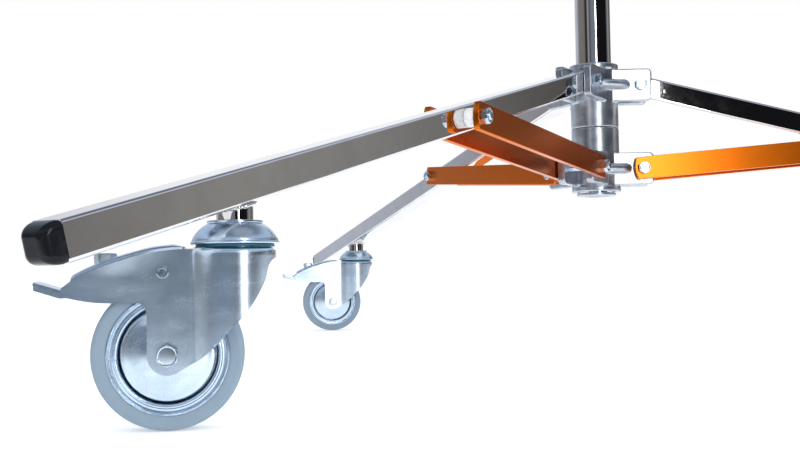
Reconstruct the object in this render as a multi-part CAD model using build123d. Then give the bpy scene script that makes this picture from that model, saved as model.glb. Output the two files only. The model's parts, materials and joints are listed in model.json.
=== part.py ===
from build123d import *
import os
from math import atan2, cos, degrees, hypot, radians, sin

# Wheeled, folding three-leg base of a tall stand. Millimetres, +Z up.
# Origin: on the column's axis, at the seat of its socket (the top of its foot plug).
# +X points along leg 3. A leg's own frame has X outwards, Y to its left and Z up.
# A castor's own frame stands on the floor under its swivel axis, with X towards its wheel.

# Column
column_od = 42.4
column_wall = 2.0
socket_depth = 680.0
foot_plug_depth = 12.5
foot_plug_step = 0.6
foot_plug_wall = 3.0
foot_plug_rim = 4.0
column_chamfer = 0.5

# Hub castings, one slid on the column and one fixed to its lower end, mouth to mouth
hub_height = 76.6
barrel_od = 56.5
hub_flange_od = 58.4
hub_flange_thick = 6.0
hub_joint_z = 69.1
hub_joint_gap = 0.4
pivot_to_joint = 50.0
pivot_radius = 52.3
ear_thick = 9.0
ear_height = 38.0
ear_end_margin = 13.3
ear_corner = 5.0
ear_slot_into_barrel = 1.5
web_od = 88.0
web_thick = 9.4
web_edge_flat = 0.4
slide_gap = 0.3
fixed_gap = 0.05

# Legs
leg_azimuths = {1: -120.0, 2: 120.0, 3: 0.0}
leg_width = 25.0
leg_wall = 2.0
leg_corner = 2.5
leg_slope = 14.41
leg_length = 795.0
leg_inner_margin = 13.0
leg_side_gap = 0.5
cap_length = 13.0
cap_plug_length = 22.0
cap_plug_gap = 0.1
cap_plug_corner = 0.6
cap_round = 4.0
stop_rivet_along = 31.0
stop_rivet_d = 3.2
stop_rivet_lip = 0.4

# Brace bars
brace_along_leg = 309.8
bar_width = 26.4
bar_thick = 6.0
bar_end_margin = 7.3
bar_end_bulge = 3.0
bar_corner = 1.2
spacer_od = 18.0
spacer_gap = 0.3
washer_thick = 1.0

# M8 fasteners
m8 = 8.0
m8_across_flats = 13.0
m8_head_height = 5.3
m8_nut_height = 7.6
m8_washer_od = 16.0
thread_stand_out = 2.0
running_gap = 0.05

# Lock bolt of the sliding hub
lock_bolt_azimuth = 180.0
lock_bolt_below_top = 13.5
lock_boss_od = 17.0
lock_boss_reach = 5.0
lock_bolt_head_gap = 2.0

# Castors, in their own frames. Outline points are (X, height below the fork's top) unless
# they are said to be above the axle.
castor_radius = 667.0
castor_heading = 190.8
wheel_od = 100.0
wheel_width = 28.0
tyre_thick = 10.0
trail = 44.4
crown_gap = 20.0
race_height = 16.0
race_od = 60.0
race_top_od = 36.0
race_sheet = 2.5
race_neck_od = 17.0
top_washer_od = 37.6
top_washer_thick = 2.0
stub_od = 25.0
stub_least = 10.5
king_bolt_d = 12.0
king_bolt_across_flats = 19.0
king_bolt_head = 7.5
king_washer_od = 24.0
king_washer_thick = 2.5
king_bolt_short_of_leg = 5.0
race_shoulder = (2.5, 6.0)
cage_od = 55.2
cage_id = 46.0
cage_thick = 2.6
ball_d = 6.0
ball_circle_d = 37.0
ball_count = 14
bowl_od = 55.0
fork_sheet = 2.5
fork_shoulder_blend = 12.0
cheek_gap = 3.5
cheek_foot_radius = 13.0
cheek_foot_back_angle = 60.0
cheek_crook_depth = 43.0
nose_start_x = 33.0
nose_line = [(27.5, 0.6), (56.0, 3.4), (88.0, 13.0), (111.0, 25.8)]
nose_under_line = [(108.5, 31.5), (84.0, 35.5), (66.0, 35.4)]
cheek_back_above_axle = [(17.0, 2.0), (-2.0, 21.5)]
cheek_back_below_top = [(-17.6, 25.0), (-21.0, 13.0)]
bowl_skirt = 7.0
rim_web = 4.0
rim_lip = 8.5
rim_side_inset = 1.0
rim_hub_wall = 5.0
tyre_shoulder = 5.0
tyre_crown = 0.6
guard_gap = 1.0
guard_sheet = 1.6
guard_middle_r = 14.0
guard_edge_inset = (1.2, 2.6)
axle_sleeve_od = 12.0
lever_gap = 0.5
lever_sheet = 2.1
lever_rise = 1.5
lever_heel = (36.5, 0.9)
lever_toe = (106.0, 22.6)
lever_under_line = [(105.0, 30.5), (88.0, 33.0), (60.0, 24.0), (40.0, 20.0), (36.5, 10.0)]
lever_open_x = (30.0, 104.0)
lever_open_drop = 26.0
paddle_line = [(104.0, 25.0), (104.0, 31.5), (113.0, 33.5), (128.5, 26.0), (128.0, 22.5),
               (112.5, 26.5)]
shoe_x = (60.0, 70.0)
shoe_low_above_axle = 30.0
shoe_gap = 3.8
lever_pivot_d = 5.2
lever_pivot_head_d = 8.0
lever_pivot_head_height = 1.2
lever_nut_height = 8.0
lever_nut_x = 85.0
lever_nut_drop = 11.4
lever_nut_seat_d = 15.6
lever_screw_foot_drop = 24.0
lever_pivot_x = 47.0
lever_pivot_drop = 16.0
small_gap = 0.3

# Worked out from the sizes above
column_r = column_od / 2
bore_r = column_r - column_wall
column_bottom = -foot_plug_depth
joint_lower_z = hub_joint_z - hub_joint_gap / 2
joint_upper_z = hub_joint_z + hub_joint_gap / 2
leg_pivot_z = joint_upper_z + pivot_to_joint
brace_pivot_z = joint_lower_z - pivot_to_joint
ear_inner = leg_width / 2 + leg_side_gap
ear_outer = ear_inner + ear_thick
bar_inner = ear_outer + small_gap + washer_thick
bar_outer = bar_inner + bar_thick
spacer_length = bar_inner - spacer_gap - leg_width / 2
pin_r = m8 / 2
pin_hole_r = pin_r + running_gap

slope = radians(leg_slope)
brace_joint_r = pivot_radius + brace_along_leg * cos(slope)
brace_joint_z = leg_pivot_z - brace_along_leg * sin(slope)
brace_rise = brace_joint_z - brace_pivot_z
brace_reach = brace_joint_r - pivot_radius
brace_span = hypot(brace_reach, brace_rise)
brace_tilt = degrees(atan2(brace_rise, brace_reach))
castor_along_leg = (castor_radius - pivot_radius) / cos(slope)
leg_underside_z = leg_pivot_z - castor_along_leg * sin(slope) - leg_width / 2 / cos(slope)

wheel_r = wheel_od / 2
fork_top = wheel_od + crown_gap
castor_height = fork_top + race_height
stub_bottom = castor_height + top_washer_thick
floor_z = leg_underside_z - stub_bottom - stub_least
cheek_inner = wheel_width / 2 + cheek_gap
cheek_outer = cheek_inner + fork_sheet
lever_nut_seat = fork_top - lever_nut_drop
lever_pivot_z = fork_top - lever_pivot_drop


def at_leg(shape, leg):
    """Turn a shape from a leg's own frame to that leg's place."""
    return Rot(0, 0, leg_azimuths[leg]) * shape


def on_slope(shape):
    """Move a shape from the leg tube's frame (X along it, from its pivot) to the leg's frame."""
    return Pos(pivot_radius, 0, leg_pivot_z) * Rot(0, leg_slope, 0) * shape


def on_brace(shape):
    """Move a shape from the brace's frame (X along it, from its hub pivot) to the leg's frame."""
    return Pos(pivot_radius, 0, brace_pivot_z) * Rot(0, -brace_tilt, 0) * shape


def at_castor(shape, leg):
    """Move a shape from a castor's own frame to its place under a leg."""
    turn = castor_heading - leg_azimuths[leg]
    return at_leg(Pos(castor_radius, 0, floor_z) * Rot(0, 0, turn) * shape, leg)


def rod_y(radius, low, high, x=0.0, z=0.0):
    """Cylinder along Y from low to high, through (x, z)."""
    return Pos(x, (low + high) / 2, z) * Rot(90, 0, 0) * Cylinder(radius, high - low)


def rod_z(radius, low, high, x=0.0, y=0.0):
    """Cylinder along Z from low to high, through (x, y)."""
    return Pos(x, y, (low + high) / 2) * Cylinder(radius, high - low)


def ring_z(outer, inner, low, high):
    """Tube along Z on the origin's axis."""
    return rod_z(outer, low, high) - rod_z(inner, low, high)


def block(x, y, z):
    """Box given by its (low, high) pairs along X, Y and Z."""
    size = (x[1] - x[0], y[1] - y[0], z[1] - z[0])
    middle = (sum(x) / 2, sum(y) / 2, sum(z) / 2)
    return Pos(*middle) * Box(*size)


def hex_z(across_flats, low, high):
    """Hexagonal prism along Z with its edges eased by a cone, as on a bolt head or nut."""
    prism = extrude(RegularPolygon(across_flats / 2, 6, major_radius=False), high - low)
    cone = Cone(across_flats / 2 + high - low, across_flats / 2 - 0.3, high - low + 0.3)
    return Pos(0, 0, low) * (prism & Pos(0, 0, (high - low + 0.3) / 2) * cone)


def along_y(shape, y, x=0.0, z=0.0, sign=1):
    """Lay a shape made along Z so that its Z points along +Y or -Y, from (x, y, z)."""
    return Pos(x, y, z) * Rot(-90 * sign, 0, 0) * shape


def side_profile(edges, half_width):
    """Solid of a closed outline in the XZ plane, as wide as half_width each side."""
    return extrude(make_face(Plane.XZ * edges), half_width, both=True)


def m8_bolt(half_grip_low, half_grip_high, x=0.0, z=0.0):
    """M8 bolt and nut along Y: shank and head in one solid, nut in another."""
    shank = rod_y(pin_r, half_grip_low, half_grip_high + m8_nut_height + thread_stand_out, x, z)
    head = along_y(hex_z(m8_across_flats, 0, m8_head_height), half_grip_low, x, z, -1)
    nut = along_y(hex_z(m8_across_flats, 0, m8_nut_height), half_grip_high, x, z)
    nut -= rod_y(pin_r, half_grip_high - 1, half_grip_high + m8_nut_height + 1, x, z)
    return [shank + head, nut]


def column():
    tube = ring_z(column_r, bore_r, column_bottom, socket_depth)
    tube -= rod_z(bore_r + foot_plug_step, column_bottom, 0)
    rim = tube.edges().filter_by(GeomType.CIRCLE).group_by(Axis.Z)[-1]
    return chamfer(rim, column_chamfer)


def foot_plug():
    plug = rod_z(bore_r + foot_plug_step, column_bottom, 0)
    plug -= rod_z(bore_r - foot_plug_rim, column_bottom + foot_plug_wall, -foot_plug_wall)
    return plug


def hub_casting():
    """One hub, from its joint face at Z = 0 up to its flange."""
    body = rod_z(barrel_od / 2, 0, hub_height)
    body += rod_z(hub_flange_od / 2, hub_height - hub_flange_thick, hub_height)
    web = rod_z(web_od / 2, pivot_to_joint - web_thick / 2, pivot_to_joint + web_thick / 2)
    web = fillet(web.edges().filter_by(GeomType.CIRCLE), web_thick / 2 - web_edge_flat)
    ear_reach = pivot_radius + ear_end_margin
    slots = []
    for azimuth in leg_azimuths.values():
        ear = block((barrel_od / 4, ear_reach), (-ear_outer, ear_outer),
                    (pivot_to_joint - ear_height / 2, pivot_to_joint + ear_height / 2))
        corners = ear.edges().filter_by(Axis.Y).group_by(Axis.X)[-1]
        body += Rot(0, 0, azimuth) * fillet(corners, ear_corner)
        slot = block((barrel_od / 2 - ear_slot_into_barrel, ear_reach + leg_width),
                     (-ear_inner, ear_inner),
                     (pivot_to_joint - ear_height, hub_height - hub_flange_thick - 0.1))
        slots.append(Rot(0, 0, azimuth) * slot)
        hole = rod_y(pin_hole_r, -ear_outer - 1, ear_outer + 1, pivot_radius, pivot_to_joint)
        slots.append(Rot(0, 0, azimuth) * hole)
    body += web
    for slot in slots:
        body -= slot
    body += ring_z(barrel_od / 2, column_r, 0, hub_height)
    return body


def upper_hub():
    hub = hub_casting()
    boss_z = hub_height - lock_bolt_below_top
    boss = rod_z(lock_boss_od / 2, 0, barrel_od / 2 + lock_boss_reach)
    hub += Pos(0, 0, boss_z) * Rot(0, 0, lock_bolt_azimuth) * Rot(0, 90, 0) * boss
    hole = rod_z(pin_r, 0, barrel_od)
    hub -= Pos(0, 0, boss_z) * Rot(0, 0, lock_bolt_azimuth) * Rot(0, 90, 0) * hole
    hub -= rod_z(column_r + slide_gap, -1, hub_height + 1)
    return Pos(0, 0, joint_upper_z) * hub


def lower_hub():
    hub = hub_casting() - rod_z(column_r + fixed_gap, -1, hub_height + 1)
    return Pos(0, 0, joint_lower_z) * mirror(hub, Plane.XY)


def lock_bolt():
    start = column_r + slide_gap
    seat = barrel_od / 2 + lock_boss_reach
    head = seat + lock_bolt_head_gap
    bolt = rod_z(pin_r, start, head + 1)
    bolt += hex_z(m8_across_flats, head, head + m8_head_height)
    lift = joint_upper_z + hub_height - lock_bolt_below_top
    return Pos(0, 0, lift) * Rot(0, 0, lock_bolt_azimuth) * Rot(0, 90, 0) * bolt


def leg_pivot_bolts():
    solids = []
    for leg in leg_azimuths:
        for piece in m8_bolt(-ear_outer, ear_outer, pivot_radius, leg_pivot_z):
            solids.append(at_leg(piece, leg))
    return Compound(solids)


def leg_tube(leg):
    outer = extrude(Plane.YZ * RectangleRounded(leg_width, leg_width, leg_corner),
                    leg_inner_margin + leg_length)
    inside = leg_width - 2 * leg_wall
    inner = extrude(Plane.YZ * RectangleRounded(inside, inside, leg_corner - leg_wall),
                    leg_inner_margin + leg_length)
    tube = Pos(-leg_inner_margin, 0, 0) * (outer - inner)
    tube -= rod_y(pin_hole_r, -leg_width, leg_width)
    tube -= rod_y(pin_r, -leg_width, leg_width, brace_along_leg)
    tube -= rod_y(stop_rivet_d / 2, -leg_width, leg_width, stop_rivet_along)
    return at_leg(on_slope(tube), leg)


def leg_cap(leg):
    head = extrude(Plane.YZ * RectangleRounded(leg_width, leg_width, leg_corner), cap_length)
    end_face = head.faces().sort_by(Axis.X)[-1]
    head = fillet(end_face.edges(), cap_round)
    inside = leg_width - 2 * leg_wall
    plug = inside - 2 * cap_plug_gap
    shank = extrude(Plane.YZ * RectangleRounded(plug, plug, cap_plug_corner), cap_plug_length)
    cap = Pos(leg_length, 0, 0) * (head + Pos(-cap_plug_length, 0, 0) * shank)
    return at_leg(on_slope(cap), leg)


def leg_fasteners(leg):
    """The brace bolt's shank inside the leg and spacers, and a stop rivet on each side."""
    reach = leg_width / 2 + spacer_length
    solids = [rod_y(pin_r, -reach, reach, brace_along_leg)]
    face = leg_width / 2
    rivet = rod_y(stop_rivet_d / 2, face - leg_wall, face, stop_rivet_along)
    head_r = stop_rivet_d / 2 + stop_rivet_lip
    rivet += rod_y(head_r, face, face + leg_side_gap / 2, stop_rivet_along)
    solids += [rivet, mirror(rivet, Plane.XZ)]
    return Compound([at_leg(on_slope(solid), leg) for solid in solids])


def brace_spacers(leg):
    """Two sleeves on the brace bolt, between the leg's sides and the bars."""
    near = leg_width / 2
    far = near + spacer_length
    solids = []
    for low, high in ((-far, -near), (near, far)):
        sleeve = rod_y(spacer_od / 2, low, high, brace_along_leg)
        solids.append(sleeve - rod_y(pin_r, low - 1, high + 1, brace_along_leg))
    return Compound([at_leg(on_slope(solid), leg) for solid in solids])


def brace_bars(leg):
    """Two flat bars with shallow round ends, one each side of the leg."""
    half = bar_width / 2
    low = -bar_end_margin
    high = brace_span + bar_end_margin
    edges = [
        Line((low, half), (high, half)),
        ThreePointArc((high, half), (high + bar_end_bulge, 0), (high, -half)),
        Line((high, -half), (low, -half)),
        ThreePointArc((low, -half), (low - bar_end_bulge, 0), (low, half)),
    ]
    bar = extrude(make_face(Plane.XZ * Curve(edges)), bar_thick)
    bar = fillet(bar.edges().filter_by(Axis.Y), bar_corner)
    for along in (0, brace_span):
        bar -= rod_y(pin_r, -2 * bar_thick, 2 * bar_thick, along)
    near = Pos(0, -bar_inner - bar.bounding_box().max.Y, 0) * bar
    return Compound([at_leg(on_brace(solid), leg) for solid in (near, mirror(near, Plane.XZ))])


def brace_fasteners(leg):
    """Hub pivot bolt, its nut and washers, and the nuts on the brace bolt's outer ends."""
    solids = m8_bolt(-bar_outer, bar_outer)
    for sign in (-1, 1):
        inner = bar_inner - washer_thick
        washer = rod_y(m8_washer_od / 2, inner, bar_inner) - rod_y(pin_r, inner - 1, bar_inner + 1)
        solids.append(washer if sign > 0 else mirror(washer, Plane.XZ))
        nut = along_y(hex_z(m8_across_flats, 0, m8_nut_height), bar_outer, brace_span)
        stud = rod_y(pin_r, bar_inner, bar_outer + m8_nut_height + thread_stand_out, brace_span)
        solids.append(nut + stud if sign > 0 else mirror(nut + stud, Plane.XZ))
    return Compound([at_leg(on_brace(solid), leg) for solid in solids])


def castor_stub(leg):
    """Short tube, welded under the leg, that the castor's king bolt screws up into."""
    tube = rod_z(stub_od / 2, stub_bottom, stub_bottom + 2 * stub_od)
    tube -= rod_z(king_bolt_d / 2, 0, stub_bottom + 3 * stub_od)
    leg_block = block((0, leg_length), (-leg_width, leg_width), (-leg_width / 2, 3 * leg_width))
    return at_castor(tube, leg) - at_leg(on_slope(leg_block), leg)


def castor_king_bolt(leg):
    """Bolt from under the fork up into the stub, its lower washer and the flat top washer."""
    neck_bottom = fork_top - fork_sheet - small_gap
    head_top = neck_bottom - king_washer_thick
    bolt_top = stub_bottom + stub_least - king_bolt_short_of_leg
    bolt = rod_z(king_bolt_d / 2, head_top - 0.5, bolt_top)
    bolt += Pos(0, 0, head_top) * Rot(180, 0, 0) * hex_z(king_bolt_across_flats, 0, king_bolt_head)
    lower = ring_z(king_washer_od / 2, king_bolt_d / 2, head_top, neck_bottom)
    upper = ring_z(top_washer_od / 2, king_bolt_d / 2, castor_height, stub_bottom)
    return Compound([at_castor(solid, leg) for solid in (bolt, lower, upper)])


def castor_race(leg):
    """Domed upper race with the neck that the fork turns on."""
    rim_bottom = fork_top + cage_thick + 2 * small_gap
    neck_bottom = fork_top - fork_sheet - small_gap
    outer = race_od / 2
    top = race_top_od / 2
    sheet = race_sheet
    neck = race_neck_od / 2
    bolt = king_bolt_d / 2
    shoulder = (outer - race_shoulder[0], castor_height - race_shoulder[1])
    edges = [
        Line((bolt, castor_height), (top, castor_height)),
        Spline([(top, castor_height), shoulder, (outer, rim_bottom + 1)],
               tangents=[(1, 0), (0, -1)]),
        Line((outer, rim_bottom + 1), (outer, rim_bottom)),
        Line((outer, rim_bottom), (outer - sheet, rim_bottom)),
        Line((outer - sheet, rim_bottom), (outer - sheet, rim_bottom + 2.5)),
        Line((outer - sheet, rim_bottom + 2.5), (top, castor_height - sheet)),
        Line((top, castor_height - sheet), (neck, castor_height - sheet)),
        Line((neck, castor_height - sheet), (neck, neck_bottom)),
        Line((neck, neck_bottom), (bolt, neck_bottom)),
        Line((bolt, neck_bottom), (bolt, castor_height)),
    ]
    return at_castor(revolve(make_face(Plane.XZ * Curve(edges)), Axis.Z), leg)


def castor_ball_cage(leg):
    """Ring that closes the race, and the balls that carry the load inside it."""
    solids = [ring_z(cage_od / 2, cage_id / 2, fork_top + small_gap / 2, fork_top + cage_thick)]
    for number in range(ball_count):
        spot = Rot(0, 0, 360 / ball_count * number) * Pos(ball_circle_d / 2, 0, 0)
        solids.append(spot * Pos(0, 0, fork_top + ball_d / 2) * Sphere(ball_d / 2))
    return Compound([at_castor(solid, leg) for solid in solids])


def below_top(points, lift=0.0):
    """Points given as (X, height below the fork's top) in the castor's own frame."""
    return [(x, fork_top - drop + lift) for x, drop in points]


def fork_edges():
    """Side outline of the fork: bowl, nose and the two round feet that hold the axle."""
    foot = cheek_foot_radius
    front = trail + foot
    turn = radians(cheek_foot_back_angle)
    back = (trail - foot * cos(turn), wheel_r - foot * sin(turn))
    nose = below_top(nose_line)
    under = below_top(nose_under_line)
    crook = (front, fork_top - cheek_crook_depth)
    rear = [(x, wheel_r + rise) for x, rise in cheek_back_above_axle]
    rear += below_top(cheek_back_below_top)
    lip = bowl_od / 2
    return [
        Line((-lip, fork_top), (lip, fork_top)),
        Line((lip, fork_top), nose[0]),
        Spline(nose),
        Line(nose[-1], under[0]),
        Spline(under),
        Spline([under[-1], crook], tangents=[(-1, 0), (0, -1)]),
        Line(crook, (front, wheel_r)),
        ThreePointArc((front, wheel_r), (trail, wheel_r - foot), back),
        Spline([back] + rear, tangents=[(-sin(turn), cos(turn)), (-0.1, 1)]),
        Line(rear[-1], (-lip, fork_top - bowl_skirt)),
        Line((-lip, fork_top - bowl_skirt), (-lip, fork_top)),
    ]


def castor_fork(leg):
    """Pressed fork: a bowl under the race, two cheeks down to the axle and out to the nose."""
    lip = bowl_od / 2
    reach = nose_line[-1][0] + fork_sheet
    outer = rod_z(lip, 0, fork_top) + block((0, reach), (-cheek_outer, cheek_outer), (0, fork_top))
    seams = outer.edges().filter_by(Axis.Z).sort_by(Axis.X)[:2]
    outer = fillet(seams, fork_shoulder_blend) & side_profile(Curve(fork_edges()), lip + 1)
    under = fork_top - fork_sheet
    inner = rod_z(lip - fork_sheet, -1, under)
    inner += block((0, reach), (-cheek_inner, cheek_inner), (-1, under))
    inner += block((nose_start_x, reach), (-cheek_inner, cheek_inner), (-1, fork_top + 1))
    fork = outer - inner
    fork -= rod_z(race_neck_od / 2 + running_gap, under - 1, fork_top + 1)
    fork -= rod_y(pin_r, -lip, lip, trail, wheel_r)
    fork -= rod_y(lever_pivot_d / 2, -lip, lip, lever_pivot_x, lever_pivot_z)
    return at_castor(fork, leg)


def lever_pivot(leg):
    """Rivet through both cheeks that the brake lever turns on."""
    rivet = rod_y(lever_pivot_d / 2, -cheek_outer, cheek_outer, lever_pivot_x, lever_pivot_z)
    top = cheek_outer + lever_pivot_head_height
    head = rod_y(lever_pivot_head_d / 2, cheek_outer, top, lever_pivot_x, lever_pivot_z)
    return at_castor(rivet + head + mirror(head, Plane.XZ), leg)


def brake_lever(leg):
    """Channel between the cheeks with a crowned top, a brake shoe and a foot paddle."""
    half = cheek_inner - lever_gap
    inside = half - lever_sheet
    crown = below_top([lever_heel] + nose_line[1:3] + [lever_toe], lever_rise)
    under = below_top(lever_under_line)
    outline = [Spline(crown), Polyline(crown[-1], *under, crown[0])]
    body = side_profile(Curve(outline), half)
    body -= Pos(0, 0, -lever_sheet) * side_profile(Curve(outline), inside)
    body -= block(lever_open_x, (-inside, inside), (0, fork_top - lever_open_drop))
    shoe_half = half - lever_sheet / 2
    shoe_z = (wheel_r + shoe_low_above_axle, fork_top - bowl_skirt)
    shoe = block(shoe_x, (-shoe_half, shoe_half), shoe_z)
    shoe -= rod_y(wheel_r + shoe_gap, -half, half, trail, wheel_r)
    paddle = Polyline(*below_top(paddle_line), close=True)
    body += shoe + side_profile(paddle, half)
    body -= rod_y(lever_pivot_d / 2 + running_gap, -half, half, lever_pivot_x, lever_pivot_z)
    body -= rod_z(pin_r, lever_nut_seat - 2 * m8, fork_top + m8, lever_nut_x)
    body -= rod_z(lever_nut_seat_d / 2, lever_nut_seat, fork_top + m8, lever_nut_x)
    return at_castor(body, leg)


def lever_nut(leg):
    """Brake adjusting screw and its nut, on top of the lever."""
    nut = Pos(lever_nut_x, 0, lever_nut_seat) * hex_z(m8_across_flats, 0, lever_nut_height)
    foot = fork_top - lever_screw_foot_drop
    screw = rod_z(pin_r, foot, lever_nut_seat + lever_nut_height, lever_nut_x)
    return at_castor(nut + screw, leg)


def tyre(leg):
    """Rubber tyre with a shallow crown and rounded shoulders."""
    half = wheel_width / 2
    inner = wheel_r - tyre_thick
    side = (wheel_r - tyre_shoulder, half)
    bend = (wheel_r - tyre_shoulder / 3, half - tyre_shoulder / 3)
    tread = (wheel_r - tyre_crown, half - tyre_shoulder)

    def other(point):
        return (point[0], -point[1])

    edges = [
        Line((inner, rim_side_inset - half), (inner, half - rim_side_inset)),
        Line((inner, half - rim_side_inset), side),
        ThreePointArc(side, bend, tread),
        ThreePointArc(tread, (wheel_r, 0), other(tread)),
        ThreePointArc(other(tread), other(bend), other(side)),
        Line(other(side), (inner, rim_side_inset - half)),
    ]
    body = revolve(make_face(Plane.XY * Curve(edges)), Axis.Y)
    return at_castor(Pos(trail, 0, wheel_r) * body, leg)


def rim(leg):
    """Wheel centre: flange under the tyre, dished sides and a long bore on the axle sleeve."""
    outer = wheel_r - tyre_thick
    half = wheel_width / 2 - rim_side_inset
    bore = axle_sleeve_od / 2 + running_gap
    hub = bore + rim_hub_wall
    web = rim_web / 2
    side = Polyline(
        (bore, 0), (bore, half + 0.5), (hub, half + 0.5), (hub, web),
        (outer - 3.5, web), (outer - 3.5, half - 3.2), (outer - rim_lip, half - 4.6),
        (outer - rim_lip, half - 2.6), (outer - 3, half - 0.5), (outer, half), (outer, 0),
        close=True)
    body = revolve(make_face(side), Axis.Y)
    body += mirror(body, Plane.XZ)
    return at_castor(Pos(trail, 0, wheel_r) * body, leg)


def thread_guards(leg):
    """Fixed round covers, one each side of the wheel, held by the cheeks."""
    edge = wheel_r - tyre_thick - rim_lip - guard_gap
    sleeve = axle_sleeve_od / 2
    out = cheek_inner
    back = out - guard_sheet
    rim_out = wheel_width / 2 - rim_side_inset
    high, low = (rim_out - inset for inset in guard_edge_inset)
    dish = ((guard_middle_r + 2 * edge) / 3, rim_out + guard_sheet)
    side = [
        Line((sleeve, out), (guard_middle_r, out)),
        Spline([(guard_middle_r, out), dish, (edge, high)]),
        Line((edge, high), (edge, low)),
        Line((edge, low), (guard_middle_r, back)),
        Line((guard_middle_r, back), (sleeve, back)),
        Line((sleeve, back), (sleeve, out)),
    ]
    cover = Pos(trail, 0, wheel_r) * revolve(make_face(Plane.XY * Curve(side)), Axis.Y)
    return Compound([at_castor(solid, leg) for solid in (cover, mirror(cover, Plane.XZ))])


def axle(leg):
    """M8 axle bolt, its nut and the sleeve that the wheel runs on."""
    solids = m8_bolt(-cheek_outer, cheek_outer, trail, wheel_r)
    sleeve = rod_y(axle_sleeve_od / 2, -cheek_inner, cheek_inner, trail, wheel_r)
    solids.append(sleeve - rod_y(pin_r, -cheek_inner, cheek_inner, trail, wheel_r))
    return Compound([at_castor(solid, leg) for solid in solids])


single_pieces = {
    "column": column,
    "foot_plug": foot_plug,
    "upper_hub": upper_hub,
    "lower_hub": lower_hub,
    "hub_lock_bolt": lock_bolt,
    "leg_pivot_bolts": leg_pivot_bolts,
}
leg_pieces = {
    "leg": leg_tube,
    "leg_cap": leg_cap,
    "leg_fasteners": leg_fasteners,
    "brace_spacers": brace_spacers,
    "brace_bars": brace_bars,
    "brace_fasteners": brace_fasteners,
    "castor_stub": castor_stub,
    "castor_king_bolt": castor_king_bolt,
    "castor_race": castor_race,
    "castor_ball_cage": castor_ball_cage,
    "castor_fork": castor_fork,
    "lever_pivot": lever_pivot,
    "brake_lever": brake_lever,
    "lever_nut": lever_nut,
    "tyre": tyre,
    "rim": rim,
    "thread_guards": thread_guards,
    "axle": axle,
}

os.makedirs("parts", exist_ok=True)
for name, make in single_pieces.items():
    export_step(make(), f"parts/{name}.step")
for name, make in leg_pieces.items():
    for leg in leg_azimuths:
        export_step(make(leg), f"parts/{name}_{leg}.step")
print("floor", round(floor_z, 2), "leg pivot", round(leg_pivot_z, 2), "brace pivot", brace_pivot_z)
print("brace joint", round(brace_joint_r, 2), round(brace_joint_z, 2), round(brace_span, 2))
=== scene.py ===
import json
from math import asin, cos, pi, radians, sin, sqrt

import bpy
import numpy as np
from mathutils import Matrix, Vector
from mathutils.geometry import delaunay_2d_cdt


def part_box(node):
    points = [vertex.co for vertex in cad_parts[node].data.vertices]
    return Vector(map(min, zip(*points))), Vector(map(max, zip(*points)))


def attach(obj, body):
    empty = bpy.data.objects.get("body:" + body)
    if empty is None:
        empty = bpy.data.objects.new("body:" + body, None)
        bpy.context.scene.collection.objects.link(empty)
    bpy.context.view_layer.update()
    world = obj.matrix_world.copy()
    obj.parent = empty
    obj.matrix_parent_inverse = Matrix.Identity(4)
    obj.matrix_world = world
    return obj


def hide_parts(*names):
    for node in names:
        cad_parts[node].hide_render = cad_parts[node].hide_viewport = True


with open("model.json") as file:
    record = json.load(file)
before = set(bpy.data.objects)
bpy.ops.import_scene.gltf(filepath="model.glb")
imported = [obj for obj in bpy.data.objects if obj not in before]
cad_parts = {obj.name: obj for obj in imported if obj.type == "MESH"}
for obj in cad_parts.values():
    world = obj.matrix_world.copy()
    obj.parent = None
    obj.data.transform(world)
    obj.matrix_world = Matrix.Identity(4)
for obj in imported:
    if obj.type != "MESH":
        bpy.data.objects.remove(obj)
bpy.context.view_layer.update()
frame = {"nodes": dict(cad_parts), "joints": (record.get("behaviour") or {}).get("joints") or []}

# Wheeled, folding three-leg base of a tall stand. Shapes are worked out in millimetres, in the
# frame of the piece that carries them, and placed in the part's frame in metres.
mm = 0.001
joints = {joint["name"]: joint for joint in frame["joints"]}
legs = (1, 2, 3)
sides = (-1, 1)

# Sizes shared with the CAD part
column_r = 21.2
column_wall = 2.0
foot_rim = 3.6
leg_width = 25.0
leg_wall = 2.0
leg_corner = 2.5
leg_slope = radians(14.41)
leg_inner_margin = 13.0
leg_length = 795.0
cap_length = 13.0
stop_rivet_along = 31.0
stop_rivet_r = 1.6
brace_along_leg = 309.8
bar_inner = 23.3
bar_thick = 6.0
bar_width = 26.4
bar_end_margin = 7.3
bar_end_bulge = 3.0
spacer_r = 9.0
ear_outer = 22.0
hex_flats = 13.0
head_height = 5.3
nut_height = 6.8
stud_proud = 1.6
pitch = 1.25
pin_r = 4.0
heading = radians(190.8)
wheel_r = 50.0
wheel_width = 28.0
tyre_thick = 10.0
trail = 44.4
fork_top = 120.0
castor_height = 136.0
stub_bottom = 138.0
stub_r = 12.5
bowl_r = 27.5
cheek_outer = 20.0
cheek_inner = 17.5
sheet_thick = 2.5
foot_r = 13.0
king_r = 6.0
sleeve_r = 6.0
lever_pivot_x = 47.0
lever_pivot_z = 104.0
screw_x = 85.0

# Radius at which a solid piece's caps close on its axis, and the gap between fitted pieces
core_r = 0.02
fit_gap = 0.3


# ---------------------------------------------------------------- frames

def axes_frame(origin, along, up):
    """4 by 4 matrix with X along, Z up (made square to X) and the origin given in metres."""
    x = np.array(along, float)
    x /= np.linalg.norm(x)
    z = np.array(up, float) - np.dot(up, x) * x
    z /= np.linalg.norm(z)
    matrix = np.eye(4)
    matrix[:3, 0] = x
    matrix[:3, 1] = np.cross(z, x)
    matrix[:3, 2] = z
    matrix[:3, 3] = origin
    return matrix


def outward(leg):
    """Unit vector from the column's axis along a leg, seen from above."""
    x, y, _ = joints[f"leg_fold_{leg}"]["pos_m"]
    length = sqrt(x * x + y * y)
    return np.array([x / length, y / length, 0])


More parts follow.
